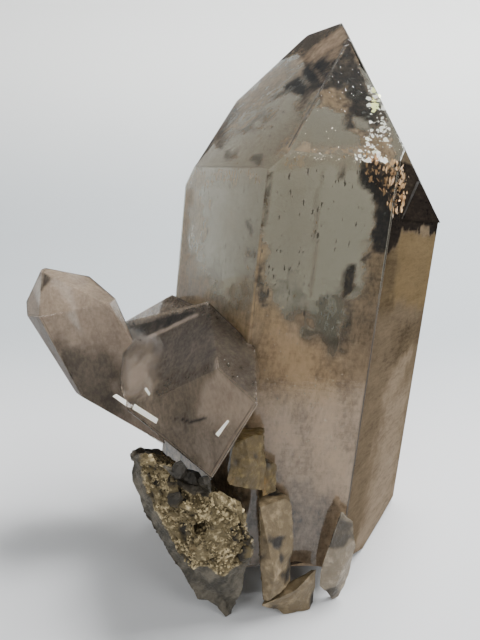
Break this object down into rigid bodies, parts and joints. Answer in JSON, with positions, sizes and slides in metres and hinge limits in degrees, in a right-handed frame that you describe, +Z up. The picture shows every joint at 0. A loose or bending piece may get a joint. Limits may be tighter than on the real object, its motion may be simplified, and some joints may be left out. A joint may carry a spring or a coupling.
{
  "type": "smoky quartz crystal cluster",
  "caption": "Tall clear smoky quartz crystal with a sloping six-sided point, side crystals grown at its lower left, granular rock and quartz fragments at its foot.",
  "frame": {"origin": "centre of the object's footprint box, on the surface it stands on", "axes": "+Z up, -Y towards the broad front face of the main crystal, +X to the viewer's right"},
  "size_m": [0.1694, 0.1312, 0.2029],
  "materials": {
    "clear_smoky_quartz": "see-through grey-brown quartz with a natural glassy lustre",
    "brown_smoky_quartz": "see-through brown quartz, cloudier inside",
    "granular_rock": "rough tan granular crust with dark pits",
    "stained_quartz": "fractured quartz with yellow iron stain",
    "dark_quartz": "fractured dark smoky quartz with rust",
    "pale_quartz": "fractured pale quartz"
  },
  "bodies": {
    "root": {"main_crystal": "clear_smoky_quartz", "side_crystals": "brown_smoky_quartz", "matrix": "granular_rock", "yellow_quartz": "stained_quartz", "rock_column": "dark_quartz", "foot_block": "dark_quartz", "foot_shard": "pale_quartz"}
  },
  "joints": []
}
